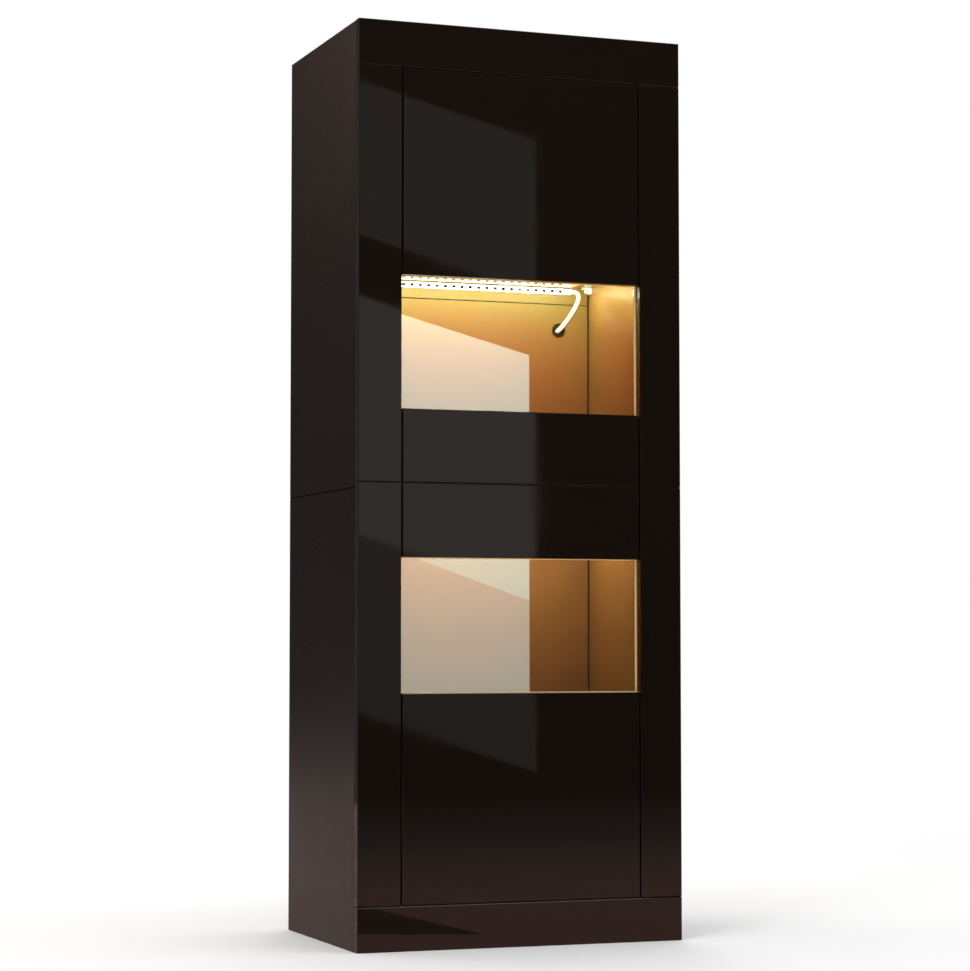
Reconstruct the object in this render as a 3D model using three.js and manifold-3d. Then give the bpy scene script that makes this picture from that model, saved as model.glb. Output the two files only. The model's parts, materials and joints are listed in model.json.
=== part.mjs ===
// A tall display cabinet for china: two stacked modules in one black case, each with its own
// door, and each door with a clear window across its full width and a light strip behind it.
// Millimetres. +X is the cabinet's right seen from the front, +Y the rear, +Z up.
// The origin is on the floor, at the middle of the footprint.
import * as THREE from "three";
import { mergeVertices } from "three/addons/utils/BufferGeometryUtils.js";
import Module from "manifold-3d";

const wasm = await Module();
wasm.setup();

// ---- Driving dimensions ----
const WIDTH = 602;
const DEPTH = 414;
const HEIGHT = 1600;
const FRONT_BOARD = 18; // header, plinth, stiles and door panels
const SIDE_BOARD = 15;
const CASE_BOARD = 18; // top, middle and bottom panels
const SHELF_BOARD = 15;
const BACK_BOARD = 3;
const BACK_INSET = 21; // open recess between the back panels and the sides' rear edges
const GROOVE = 6; // depth of the sides' grooves for the back panels
const PIN_R = 2.5; // spare holes for shelf pins
const PIN_DEPTH = 8;
const FIT = 0.3; // space kept between pieces that touch
const EASE = 0.7; // small chamfer on every board edge
const JOINT = 1.4; // line between two fixed front boards
const DOOR_GAP = 2.6; // line round each door

// Heights of the joints, measured from the floor
const PLINTH_Z = 76.6; // plinth to lower stiles and lower door
const MODULE_Z = 790.4; // lower module to upper module
const SEAM_Z = 799.7; // lower door to upper door
const HEADER_Z = 1520.5; // upper door and upper stiles to header
const LOWER_SHELF_TOP = 436;
const UPPER_SHELF_UNDERSIDE = 1202.5;
const UPPER_BACK_JOINT = 1170;
const LOWER_BACK_JOINT = 430;

// Each door: its bottom, its window and its top
const UPPER_DOOR = { name: "upper", bottom: SEAM_Z, window: [926.9, 1158.7], top: HEADER_Z };
const LOWER_DOOR = { name: "lower", bottom: PLINTH_Z, window: [437.6, 670.9], top: SEAM_Z };
const UPPER_HINGES = { top: 1440, bottom: 864 };
const LOWER_HINGES = { top: 735.7, bottom: 160 };
const HINGE_X = 221.8; // middle of the line between the door and the right stile

const GLASS = 4;
const GLASS_LAP = 35; // how far the pane reaches behind the door panels
const GLASS_SIDE = 0.5; // how far the pane's upright edges stay inside the door's

// Concealed hinge
const CUP_R = 17.5;
const CUP_DEPTH = 12;
const CUP_CENTRE = 23.8; // from the hinge axis
const CUP_WALL = 1.2;
const FLANGE_R = 20;
const FLANGE = 1.2;
const LINK_R = 32;
const ARM_R = 35.6;
const STRAP = 1.2; // half the thickness of the curved link and arm
const LINK_SPAN = [-47, 46]; // degrees from straight behind the axis, towards the door
const ARM_SPAN = [-14, 78];
const ARM_HALF_WIDTH = 6;
const LINK_HALF_WIDTH = 7;
const ROUND = 32; // facets of a small round piece

// Light strips, their leads and the controller
const STRIP = 2.3;
const STRIP_BAND = 11.5;
const STRIP_LEFT = -262;
const STRIP_RIGHT = 250;
const CABLE_HOLE_R = 13.5;
const UPPER_HOLE = { x: 224, z: 1120 };
const LOWER_HOLE = { x: 224, z: 712 };
const LEAD_WIDTH = 8.6;
const LEAD_THICKNESS = 4.2;

// Push-to-open latch
const LATCH_X = -205;
const LATCH_LENGTH = 70;
const LATCH_WIDTH = 16;
const LATCH_HEIGHT = 12;
const PLUNGER_R = 4;
const PLUNGER_PLAY = 0.4;
const PLUNGER_LENGTH = 62;
const STRIKE = 1;

// ---- Places worked out from them ----
const LEFT = -WIDTH / 2;
const RIGHT = WIDTH / 2;
const FRONT = -DEPTH / 2;
const REAR = DEPTH / 2;
const BOARD_BACK = FRONT + FRONT_BOARD; // rear faces of the front boards
const CASE_FRONT = BOARD_BACK + FIT; // front edges of the case behind them
const INNER_X = RIGHT - SIDE_BOARD - FIT; // ends of the panels between the sides
const BACK_REAR = REAR - BACK_INSET;
const BACK_FACE = BACK_REAR - BACK_BOARD;
const PANEL_REAR = BACK_FACE - FIT; // rear edges of the panels in front of the back
const DOOR_RIGHT = HINGE_X - DOOR_GAP / 2;
const STILE_INNER = HINGE_X + DOOR_GAP / 2;
const SHELF_FRONT = FRONT + 41;
const LOWER_SHELF_UNDERSIDE = LOWER_SHELF_TOP - SHELF_BOARD;
const UPPER_SHELF_TOP = UPPER_SHELF_UNDERSIDE + SHELF_BOARD;
const MIDDLE_UNDERSIDE = MODULE_Z + FIT;

// ---- Materials ----
const material = (color, roughness, metalness = 0, extra = {}) => () =>
  new THREE.MeshStandardMaterial({ color, roughness, metalness, ...extra });
const glossBlack = material(0x100d0b, 0.06);
const satinBlack = material(0x2b2420, 0.4);
const interiorBrown = material(0x8a6236, 0.35);
const clearGlass = material(0xdfe9e6, 0.03, 0, { transparent: true, opacity: 0.25 });
const blackPlastic = material(0x1a1a1a, 0.5);
const whitePlastic = material(0xf2efe6, 0.45);
const nickel = material(0xb8b8b4, 0.3, 1);
const lightStrip = material(0xfff4d6, 0.5, 0, { emissive: 0xffe2a0 });

// ---- Solids: manifold-3d joins and cuts what three.js makes ----
function solid(geometry) {
  const bare = geometry.index ? geometry.toNonIndexed() : geometry.clone();
  bare.deleteAttribute("normal");
  bare.deleteAttribute("uv");
  const merged = mergeVertices(bare, 1e-4);
  return new wasm.Manifold(
    new wasm.Mesh({
      numProp: 3,
      vertProperties: merged.attributes.position.array,
      triVerts: new Uint32Array(merged.index.array),
    }),
  );
}

function geometryOf(made) {
  const mesh = made.getMesh();
  const indexed = new THREE.BufferGeometry();
  indexed.setAttribute("position", new THREE.BufferAttribute(mesh.vertProperties, 3));
  indexed.setIndex(new THREE.BufferAttribute(mesh.triVerts, 1));
  const geometry = indexed.toNonIndexed();
  geometry.computeVertexNormals();
  return geometry;
}

function cut(body, ...tools) {
  return geometryOf(tools.reduce((left, tool) => left.subtract(solid(tool)), solid(body)));
}

function join(...pieces) {
  return geometryOf(pieces.map(solid).reduce((all, piece) => all.add(piece)));
}

// ---- Basic shapes ----
function box([x0, x1], [y0, y1], [z0, z1]) {
  const geometry = new THREE.BoxGeometry(x1 - x0, y1 - y0, z1 - z0);
  return geometry.translate((x0 + x1) / 2, (y0 + y1) / 2, (z0 + z1) / 2);
}

function outline(points) {
  return new THREE.Shape(points.map(([u, v]) => new THREE.Vector2(u, v)));
}

// A flat board with eased edges: its outline lies across its thinnest direction.
function board(xs, ys, zs, ease = EASE) {
  const size = [xs, ys, zs].map(([low, high]) => high - low);
  const thin = size.indexOf(Math.min(...size));
  const [w, h] = [size[(thin + 1) % 3] / 2, size[(thin + 2) % 3] / 2];
  const shape = outline([[-w, -h], [w, -h], [w, h], [-w, h]]);
  const geometry = new THREE.ExtrudeGeometry(shape, {
    depth: size[thin] - 2 * ease,
    bevelEnabled: true,
    bevelThickness: ease,
    bevelSize: ease,
    bevelOffset: -ease,
    bevelSegments: 1,
  });
  geometry.translate(0, 0, ease - size[thin] / 2);
  if (thin === 0) geometry.rotateX(Math.PI / 2).rotateZ(Math.PI / 2);
  if (thin === 1) geometry.rotateX(-Math.PI / 2).rotateY(-Math.PI / 2);
  const [x, y, z] = [xs, ys, zs].map(([low, high]) => (low + high) / 2);
  return geometry.translate(x, y, z);
}

// A cylinder along Y, from y0 to y1.
function rod(radius, [y0, y1], x, z, facets = ROUND) {
  return new THREE.CylinderGeometry(radius, radius, y1 - y0, facets).translate(0, (y0 + y1) / 2, 0)
    .translate(x, 0, z);
}

function mesh(name, geometry, finish) {
  const made = new THREE.Mesh(geometry, finish());
  made.name = name;
  return made;
}

// ---- Case: sides, horizontal panels, shelves and back ----
function side(hand, zs, holes) {
  const outer = hand * RIGHT;
  const inner = hand * (RIGHT - SIDE_BOARD);
  const xs = [Math.min(outer, inner), Math.max(outer, inner)];
  const grooveXs = [inner - GROOVE, inner + GROOVE];
  const groove = box(grooveXs, [BACK_FACE - FIT, BACK_REAR + FIT], [zs[0] - 5, zs[1] + 5]);
  const pins = holes.map(([y, z]) =>
    new THREE.CylinderGeometry(PIN_R, PIN_R, 2 * PIN_DEPTH, 12).rotateZ(Math.PI / 2)
      .translate(inner, y, z));
  return cut(board(xs, [CASE_FRONT, REAR], zs), groove, ...pins);
}

function sides() {
  const spare = [
    [FRONT + 362, 1192],
    [FRONT + 362, 1168],
  ];
  const lower = [0, MODULE_Z - FIT];
  const upper = [MODULE_Z + FIT, HEIGHT];
  return [
    mesh("left_side_lower", side(-1, lower, []), satinBlack),
    mesh("right_side_lower", side(1, lower, []), satinBlack),
    mesh("left_side_upper", side(-1, upper, spare), satinBlack),
    mesh("right_side_upper", side(1, upper, spare), satinBlack),
  ];
}

function panels() {
  const xs = [-INNER_X, INNER_X];
  const ys = [CASE_FRONT, PANEL_REAR];
  const shelfYs = [SHELF_FRONT, PANEL_REAR];
  const half = CASE_BOARD / 2;
  const bottom = [PLINTH_Z - half, PLINTH_Z + half];
  const middle = [MIDDLE_UNDERSIDE, MIDDLE_UNDERSIDE + CASE_BOARD];
  return [
    mesh("bottom_panel", board(xs, ys, bottom), satinBlack),
    mesh("middle_panel", board(xs, ys, middle), satinBlack),
    mesh("top_panel", board(xs, ys, [HEIGHT - CASE_BOARD, HEIGHT]), satinBlack),
    mesh("lower_shelf", board(xs, shelfYs, [LOWER_SHELF_UNDERSIDE, LOWER_SHELF_TOP]), satinBlack),
    mesh("upper_shelf", board(xs, shelfYs, [UPPER_SHELF_UNDERSIDE, UPPER_SHELF_TOP]), satinBlack),
  ];
}

function backPanel(zs, hole) {
  const reach = INNER_X + GROOVE - 0.5;
  const sheet = board([-reach, reach], [BACK_FACE, BACK_REAR], zs, 0.3);
  if (!hole) return sheet;
  return cut(sheet, rod(CABLE_HOLE_R, [BACK_FACE - 5, BACK_REAR + 5], hole.x, hole.z));
}

function back() {
  const line = 0.8; // half of the open line between two back panels
  const upper = [MODULE_Z + line, UPPER_BACK_JOINT - line];
  const lower = [LOWER_BACK_JOINT + line, MODULE_Z - line];
  return [
    mesh("back_panel_bottom", backPanel([3, LOWER_BACK_JOINT - line]), interiorBrown),
    mesh("back_panel_lower", backPanel(lower, LOWER_HOLE), interiorBrown),
    mesh("back_panel_upper", backPanel(upper, UPPER_HOLE), interiorBrown),
    mesh("back_panel_top", backPanel([UPPER_BACK_JOINT + line, HEIGHT - 3]), interiorBrown),
  ];
}

// ---- Fixed front boards ----
function frontBoards() {
  const ys = [FRONT, BOARD_BACK];
  const across = [LEFT, RIGHT];
  const half = JOINT / 2;
  const stiles = [
    ["lower", [PLINTH_Z + half, SEAM_Z - half]],
    ["upper", [SEAM_Z + half, HEADER_Z - half]],
  ].flatMap(([level, zs]) => [
    mesh(`left_stile_${level}`, board([LEFT, -STILE_INNER], ys, zs), glossBlack),
    mesh(`right_stile_${level}`, board([STILE_INNER, RIGHT], ys, zs), glossBlack),
  ]);
  return [
    mesh("plinth_front", board(across, ys, [0, PLINTH_Z - half]), glossBlack),
    mesh("header_front", board(across, ys, [HEADER_Z + half, HEIGHT]), glossBlack),
    ...stiles,
  ];
}

// ---- Hinges ----
// A curved strap about the hinge axis. Angles run from straight behind the axis towards the door.
function strap(radius, [from, to], halfWidth, z) {
  const angle = (degrees) => Math.PI / 2 + (degrees * Math.PI) / 180;
  const shape = new THREE.Shape();
  shape.absarc(0, 0, radius + STRAP, angle(from), angle(to), false);
  shape.absarc(0, 0, radius - STRAP, angle(to), angle(from), true);
  const geometry = new THREE.ExtrudeGeometry(shape, {
    depth: 2 * halfWidth,
    bevelEnabled: false,
    curveSegments: 14,
  });
  return geometry.translate(HINGE_X, FRONT, z - halfWidth);
}

function cupPocket(z) {
  const floor = BOARD_BACK - CUP_DEPTH - 2 * FIT;
  return rod(CUP_R + FIT, [floor, BOARD_BACK + 5], HINGE_X - CUP_CENTRE, z);
}

// The cup sunk in the back of the door, with the curved arm that is fixed in it.
function hingeCup(z) {
  const x = HINGE_X - CUP_CENTRE;
  const floor = BOARD_BACK - CUP_DEPTH;
  const rim = BOARD_BACK + FIT;
  const bowl = cut(
    join(rod(CUP_R, [floor, rim + FLANGE], x, z), rod(FLANGE_R, [rim, rim + FLANGE], x, z)),
    rod(CUP_R - CUP_WALL, [floor + CUP_WALL, rim + 5], x, z),
  );
  return join(bowl, strap(ARM_R, ARM_SPAN, ARM_HALF_WIDTH, z));
}

// The housing on the back of the stile: a plate, two cheeks beside the straps, and a cover.
function hingeHousing(z) {
  const base = BOARD_BACK + FIT;
  const plate = box([HINGE_X + 12, HINGE_X + 58], [base, base + 2.2], [z - 19, z + 19]);
  const cheekYs = [base + 2, FRONT + 39.4];
  const cheekXs = [HINGE_X - 5, HINGE_X + 44];
  const cover = box([HINGE_X, HINGE_X + 44], [FRONT + 38.2, FRONT + 40.2], [z - 10, z + 10]);
  const screws = [-14, 14].map((dz) =>
    rod(4, [base + 2, base + 4.4], HINGE_X + 51, z + dz, 16));
  return join(
    plate,
    cover,
    box(cheekXs, cheekYs, [z - 10, z - 8]),
    box(cheekXs, cheekYs, [z + 8, z + 10]),
    ...screws,
  );
}

function hinges(door, heights) {
  return Object.entries(heights).map(([place, z]) => ({
    cup: mesh(`${door.name}_hinge_cup_${place}`, hingeCup(z), nickel),
    link: mesh(
      `${door.name}_hinge_link_${place}`, strap(LINK_R, LINK_SPAN, LINK_HALF_WIDTH, z), nickel),
    housing: mesh(`${door.name}_hinge_housing_${place}`, hingeHousing(z), nickel),
  }));
}

// ---- Doors ----
function doorPanel(zs, hingeZ) {
  const xs = [-DOOR_RIGHT, DOOR_RIGHT];
  return cut(board(xs, [FRONT, BOARD_BACK], zs), cupPocket(hingeZ));
}

// A black strip behind the pane: it clamps the glass and is screwed to the panel beyond its edge.
function glassRetainer(edgeZ, towards) {
  const back = BOARD_BACK + FIT;
  const clampY = back + GLASS + FIT;
  const reach = 28;
  const lip = 7;
  const span = (from, to) => [Math.min(from, to), Math.max(from, to)];
  const foot = span(edgeZ - towards * FIT, edgeZ - towards * lip);
  const leg = span(edgeZ + towards * reach, edgeZ - towards * lip);
  return join(
    box([-200, 200], [back, clampY + 5], foot),
    box([-200, 200], [clampY, clampY + 5], leg),
  );
}

function door(which, heights) {
  const [low, high] = which.window;
  const bottom = which.bottom + DOOR_GAP / 2;
  const top = which.top - DOOR_GAP / 2;
  const paneX = DOOR_RIGHT - GLASS_SIDE;
  const pane = [low - GLASS_LAP, high + GLASS_LAP];
  const paneYs = [BOARD_BACK + FIT, BOARD_BACK + FIT + GLASS];
  const name = `${which.name}_door`;
  return [
    mesh(`${name}_panel_bottom`, doorPanel([bottom, low], heights.bottom), glossBlack),
    mesh(`${name}_panel_top`, doorPanel([high, top], heights.top), glossBlack),
    mesh(`${name}_glass`, board([-paneX, paneX], paneYs, pane, 0.5), clearGlass),
    mesh(`${name}_glass_retainer_bottom`, glassRetainer(pane[0], 1), blackPlastic),
    mesh(`${name}_glass_retainer_top`, glassRetainer(pane[1], -1), blackPlastic),
  ];
}

// ---- Push-to-open latch ----
// A body on the board behind the door, its sprung plunger, and the plate that it pushes on the door.
function latch(level, z) {
  const bodyYs = [SHELF_FRONT + 1, SHELF_FRONT + 1 + LATCH_LENGTH];
  const half = LATCH_WIDTH / 2;
  const strikeYs = [BOARD_BACK + FIT, BOARD_BACK + FIT + STRIKE];
  const tip = strikeYs[1] + FIT;
  const body = cut(
    board([LATCH_X - half, LATCH_X + half], bodyYs, [z - LATCH_HEIGHT / 2, z + LATCH_HEIGHT / 2], 1),
    rod(PLUNGER_R + PLUNGER_PLAY, [bodyYs[0] - 5, tip + PLUNGER_LENGTH + 4], LATCH_X, z, 24),
  );
  const strike = board([LATCH_X - 7, LATCH_X + 7], strikeYs, [z - 5, z + 13], 0.3);
  return [
    mesh(`${level}_latch_body`, body, whitePlastic),
    mesh(
      `${level}_latch_plunger`, rod(PLUNGER_R, [tip, tip + PLUNGER_LENGTH], LATCH_X, z, 24),
      whitePlastic),
    mesh(`${level}_latch_strike`, strike, nickel),
  ];
}

// ---- Shelf supports in the rear corners ----
function shelfSupport(hand, underside) {
  const wall = hand * INNER_X;
  const xs = (near, far) => [wall - hand * near, wall - hand * far].sort((a, b) => a - b);
  const ys = [PANEL_REAR - 17, PANEL_REAR - 1];
  const top = underside - FIT;
  return join(
    box(xs(0, 2.5), ys, [top - 11, top]),
    box(xs(0, 15), ys, [top - 2.5, top]),
    box(xs(0, 12), [ys[0] + 6.5, ys[0] + 9.5], [top - 9, top]),
  );
}

function shelfSupports() {
  return [["lower", LOWER_SHELF_UNDERSIDE], ["upper", UPPER_SHELF_UNDERSIDE]].flatMap(
    ([level, underside]) => [
      mesh(`${level}_shelf_support_left`, shelfSupport(-1, underside), whitePlastic),
      mesh(`${level}_shelf_support_right`, shelfSupport(1, underside), whitePlastic),
    ]);
}

// ---- Lighting ----
function strip(ceiling) {
  const top = ceiling - 1;
  const ys = [BACK_FACE - FIT - STRIP, BACK_FACE - FIT];
  return board([STRIP_LEFT, STRIP_RIGHT], ys, [top - STRIP_BAND, top], 0.4);
}

// A flattened lead along hand-chosen points.
function lead(points, steps) {
  const section = new THREE.Shape();
  section.absellipse(0, 0, LEAD_THICKNESS / 2, LEAD_WIDTH / 2, 0, 2 * Math.PI, false, 0);
  const route = new THREE.CatmullRomCurve3(points.map((p) => new THREE.Vector3(...p)));
  return new THREE.ExtrudeGeometry(section, {
    steps,
    curveSegments: 4,
    bevelEnabled: false,
    extrudePath: route,
  });
}

const LEAD_Y = BACK_FACE - FIT - LEAD_THICKNESS / 2;
const RECESS_Y = BACK_REAR + 4.2;
const CONTROLLER = { xs: [200, 262], ys: [BACK_REAR + FIT, BACK_REAR + 17], zs: [560, 602] };
const UPPER_PORT_X = 246;
const LOWER_PORT_X = 216;

// From the strip's end, round a bend and down to the cable hole, as offsets from strip and hole.
function bendPoints(stripZ) {
  return [
    [250.4, LEAD_Y, stripZ],
    [257, LEAD_Y, stripZ - 0.4],
    [263, LEAD_Y, stripZ - 4.4],
    [264.6, LEAD_Y, stripZ - 11.4],
  ];
}

function throughHole({ x, z }) {
  return [
    [x + 4.6, LEAD_Y, z + 6],
    [x - 0.6, LEAD_Y + 2, z + 0.4],
    [x - 3.4, LEAD_Y + 6, z - 3.6],
    [x - 4.2, RECESS_Y - 0.6, z - 9],
    [x - 4.4, RECESS_Y, z - 18],
  ];
}

const UPPER_ROUTE = [
  ...bendPoints(1195.4),
  [261.5, LEAD_Y, 1174],
  [254, LEAD_Y, 1160],
  [244, LEAD_Y, 1145],
  ...throughHole(UPPER_HOLE),
  [224, RECESS_Y, 1080],
  [238, RECESS_Y, 1040],
  [UPPER_PORT_X, RECESS_Y, 990],
  [UPPER_PORT_X, RECESS_Y, 800],
  [UPPER_PORT_X, RECESS_Y, CONTROLLER.zs[1] + FIT],
];

const LOWER_ROUTE = [
  ...bendPoints(783.6),
  [261, LEAD_Y, 762],
  [253, LEAD_Y, 748],
  [242, LEAD_Y, 733],
  ...throughHole(LOWER_HOLE),
  [217, RECESS_Y, 670],
  [LOWER_PORT_X, RECESS_Y, 640],
  [LOWER_PORT_X, RECESS_Y, CONTROLLER.zs[1] + FIT],
];

function controller() {
  const { xs, ys, zs } = CONTROLLER;
  const socket = box([225, 237], [ys[0] + 3, ys[1] - 3], [zs[0] - 5, zs[0] + 9]);
  return cut(board(xs, ys, zs, 1.5), socket);
}

// The socket for the supply lead's round plug, open downwards.
function powerInlet() {
  const { ys, zs } = CONTROLLER;
  const midY = (ys[0] + ys[1]) / 2;
  const shell = box([225.3, 236.7], [ys[0] + 3.3, ys[1] - 3.3], [zs[0] - 2, zs[0] + 8.7]);
  const bore = new THREE.CylinderGeometry(3.2, 3.2, 16, 24).rotateX(Math.PI / 2)
    .translate(231, midY, zs[0] - 2);
  const pin = new THREE.CylinderGeometry(1, 1, 4, 12).rotateX(Math.PI / 2)
    .translate(231, midY, zs[0] + 5.4);
  return join(cut(shell, bore), pin);
}

function lighting() {
  return [
    mesh("upper_light_strip", strip(UPPER_SHELF_UNDERSIDE), lightStrip),
    mesh("lower_light_strip", strip(MIDDLE_UNDERSIDE), lightStrip),
    mesh("upper_light_lead", lead(UPPER_ROUTE, 110), whitePlastic),
    mesh("lower_light_lead", lead(LOWER_ROUTE, 60), whitePlastic),
    mesh("light_controller", controller(), blackPlastic),
    mesh("power_inlet", powerInlet(), blackPlastic),
  ];
}

// ---- Assembly ----
function assembly(...pieces) {
  const group = new THREE.Group();
  group.add(...pieces);
  return group;
}

const upperHinges = hinges(UPPER_DOOR, UPPER_HINGES);
const lowerHinges = hinges(LOWER_DOOR, LOWER_HINGES);
const allHinges = [...upperHinges, ...lowerHinges];
const [upperBody, upperPlunger, upperStrike] = latch(
  "upper", UPPER_SHELF_TOP + FIT + LATCH_HEIGHT / 2);
const [lowerBody, lowerPlunger, lowerStrike] = latch(
  "lower", PLINTH_Z + CASE_BOARD / 2 + FIT + LATCH_HEIGHT / 2);

const cabinet = assembly(
  assembly(...sides(), ...panels(), ...back(), ...frontBoards(), ...shelfSupports()),
  assembly(...allHinges.map((hinge) => hinge.housing), upperBody, lowerBody),
  assembly(...lighting()),
  assembly(...allHinges.map((hinge) => hinge.link), upperPlunger, lowerPlunger),
  assembly(
    ...door(UPPER_DOOR, UPPER_HINGES), ...upperHinges.map((hinge) => hinge.cup), upperStrike),
  assembly(
    ...door(LOWER_DOOR, LOWER_HINGES), ...lowerHinges.map((hinge) => hinge.cup), lowerStrike),
);

export default cabinet;
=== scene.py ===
import json
import math

import bmesh
import bpy
from mathutils import Matrix, Vector


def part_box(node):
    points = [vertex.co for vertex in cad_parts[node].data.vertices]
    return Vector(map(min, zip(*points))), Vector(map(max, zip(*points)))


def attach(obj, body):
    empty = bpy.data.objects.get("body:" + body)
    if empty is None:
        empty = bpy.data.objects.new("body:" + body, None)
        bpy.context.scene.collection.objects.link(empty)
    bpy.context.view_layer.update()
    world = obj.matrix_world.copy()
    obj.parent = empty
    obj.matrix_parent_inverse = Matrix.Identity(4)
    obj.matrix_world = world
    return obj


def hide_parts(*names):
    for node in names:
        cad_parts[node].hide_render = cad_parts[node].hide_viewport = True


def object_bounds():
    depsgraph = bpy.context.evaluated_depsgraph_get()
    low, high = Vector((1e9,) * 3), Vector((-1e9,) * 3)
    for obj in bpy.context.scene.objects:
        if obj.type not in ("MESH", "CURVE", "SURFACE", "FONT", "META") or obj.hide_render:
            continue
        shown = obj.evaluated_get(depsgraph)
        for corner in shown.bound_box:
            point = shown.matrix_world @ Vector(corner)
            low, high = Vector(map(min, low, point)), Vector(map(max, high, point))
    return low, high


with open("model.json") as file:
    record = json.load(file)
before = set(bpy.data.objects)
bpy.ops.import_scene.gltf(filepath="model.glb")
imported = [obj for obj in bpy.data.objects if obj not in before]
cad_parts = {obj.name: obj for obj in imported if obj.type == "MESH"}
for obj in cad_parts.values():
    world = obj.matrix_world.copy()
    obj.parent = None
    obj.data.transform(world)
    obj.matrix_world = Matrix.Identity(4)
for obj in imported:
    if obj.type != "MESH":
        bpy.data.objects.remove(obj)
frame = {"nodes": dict(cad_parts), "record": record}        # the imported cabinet: bodies, nodes, joints and record
cad_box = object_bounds()

# Metres, in the cabinet's own frame: +X its right, +Y its rear, +Z up, origin on the floor.
MM = 0.001
NODES = frame["nodes"]
BODY_OF = {name: body for body, names in frame["record"]["behaviour"]["bodies"].items() for name in names}
LEVELS = ("upper", "lower")
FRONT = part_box("plinth_front")[0].y
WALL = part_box("back_panel_upper")[0].y  # the back panels' face inside the cabinet
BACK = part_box("back_panel_upper")[1].y  # and their rear face
INSIDE_X = 0.2864  # the sides' inner faces lie just inside this
CASE_FRONT = FRONT + 0.0183  # the case's front edges, behind the front boards
REARWARD = Matrix.Rotation(-math.pi / 2, 3, "X")  # turns +Z to +Y

# Camera, at the photograph's viewing angle: a perspective fit of the photograph
EYE = Vector((-1.7158, -4.6414, 0.5264))
YAW, PITCH = math.radians(20.359), math.radians(3.272)
LENS = 101.22


# ---- Camera ----
def make_camera():
    data = bpy.data.cameras.new("camera")
    data.lens = LENS
    data.sensor_width = 36
    camera = bpy.data.objects.new("camera", data)
    bpy.context.scene.collection.objects.link(camera)
    forward = Vector((math.sin(YAW) * math.cos(PITCH), math.cos(YAW) * math.cos(PITCH), math.sin(PITCH)))
    camera.location = EYE
    camera.rotation_mode = "QUATERNION"
    camera.rotation_quaternion = forward.to_track_quat("-Z", "Y")
    bpy.context.scene.camera = camera


# ---- Materials ----
def rgba(red, green, blue):
    return (red, green, blue, 1.0)


class Look:
    """One procedural material, with short calls that add shader nodes and join them."""

    upright = False  # whether patterns drawn by lines lie in the XZ plane, not the XY plane

    def __init__(self, name):
        self.material = bpy.data.materials.new(name)
        self.material.use_nodes = True
        self.tree = self.material.node_tree
        self.tree.nodes.clear()
        self.rest = self.add("TexCoord").outputs["Object"]

    def across(self, x, other):
        return (x, 0.0, other) if self.upright else (x, other, 0.0)

    def add(self, kind, inputs=None, **settings):
        made = self.tree.nodes.new("ShaderNode" + kind)
        for key, value in settings.items():
            setattr(made, key, value)
        for key, value in (inputs or {}).items():
            if isinstance(value, bpy.types.NodeSocket):
                self.tree.links.new(value, made.inputs[key])
            else:
                made.inputs[key].default_value = value
        return made

    def maths(self, operation, a, b=0.0):
        return self.add("Math", {0: a, 1: b}, operation=operation).outputs[0]

    def noise(self, scale, detail=2.0, stretch=(1, 1, 1)):
        mapped = self.add("Mapping", {"Vector": self.rest, "Scale": stretch}).outputs[0]
        return self.add("TexNoise", {"Vector": mapped, "Scale": scale, "Detail": detail}).outputs["Fac"]

    def spread(self, value, low, high, to_low=0.0, to_high=1.0):
        ends = {"From Min": low, "From Max": high, "To Min": to_low, "To Max": to_high}
        return self.add("MapRange", {"Value": value, **ends}).outputs["Result"]

    def mix(self, share, a, b):
        return self.add("Mix", {0: share, 6: a, 7: b}, data_type="RGBA").outputs[2]

    def blend(self, share, a, b):
        return self.add("Mix", {0: share, 2: a, 3: b}, data_type="FLOAT").outputs[0]

    def axis(self, name):
        return self.add("SeparateXYZ", {0: self.rest}).outputs[name]

    def beyond(self, value, limit, soft=0.0002):
        return self.spread(value, limit - soft, limit + soft)

    def rounded(self, radius):
        return self.add("Bevel", {"Radius": radius}, samples=4).outputs[0]

    def edges(self, radius):
        """1 along the edges of a board, 0 on its faces."""
        normal = self.add("NewGeometry").outputs["Normal"]
        facing = self.add("VectorMath", {0: self.rounded(radius), 1: normal}, operation="DOT_PRODUCT")
        return self.spread(facing.outputs["Value"], 0.995, 0.86)

    def bump(self, height, distance, normal=None):
        inputs = {"Height": height, "Distance": distance, "Strength": 1.0}
        if normal:
            inputs["Normal"] = normal
        return self.add("Bump", inputs).outputs[0]

    def surface(self, inputs):
        shader = self.add("BsdfPrincipled", inputs)
        self.output(shader.outputs[0])
        return self.material

    def output(self, shader):
        self.add("OutputMaterial", {"Surface": shader})
        return self.material


def gloss_front():
    """Black high gloss lacquer: a deep mirror with faint orange peel, haze, and edges that are rougher and painted
    lighter as a highlight.
    """
    look = Look("gloss_black_lacquer")
    cloud = look.noise(3.0, 4.0)
    edge = look.edges(0.0011)
    lacquer = look.mix(cloud, rgba(0.0078, 0.0044, 0.0025), rgba(0.0098, 0.0056, 0.0034))
    # painted highlight: along the edges the lacquer is mixed halfway towards a lighter grey
    base = look.mix(look.maths("MULTIPLY", edge, 0.5), lacquer, rgba(0.03, 0.026, 0.023))
    smudge = look.spread(look.noise(9.0, 5.0), 0.42, 0.72, 0.028, 0.06)
    rough = look.maths("ADD", smudge, look.maths("MULTIPLY", edge, 0.05))
    peel = look.maths("ADD", look.noise(150.0, 1.0), look.maths("MULTIPLY", look.noise(26.0, 1.0), 1.4))
    normal = look.bump(peel, 0.0000045, look.rounded(0.0001))
    return look.surface({"Base Color": base, "Roughness": rough, "Normal": normal, "IOR": 1.5})


def melamine(look, dark, light):
    """Printed board: a fine upright grain in its colour."""
    streak = look.noise(30.0, 5.0, (12.0, 12.0, 0.5))
    pores = look.noise(240.0, 2.0, (8.0, 8.0, 0.7))
    grain = look.spread(look.maths("ADD", streak, look.maths("MULTIPLY", pores, 0.6)), 0.4, 1.2)
    return look.mix(grain, dark, light), grain


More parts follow.
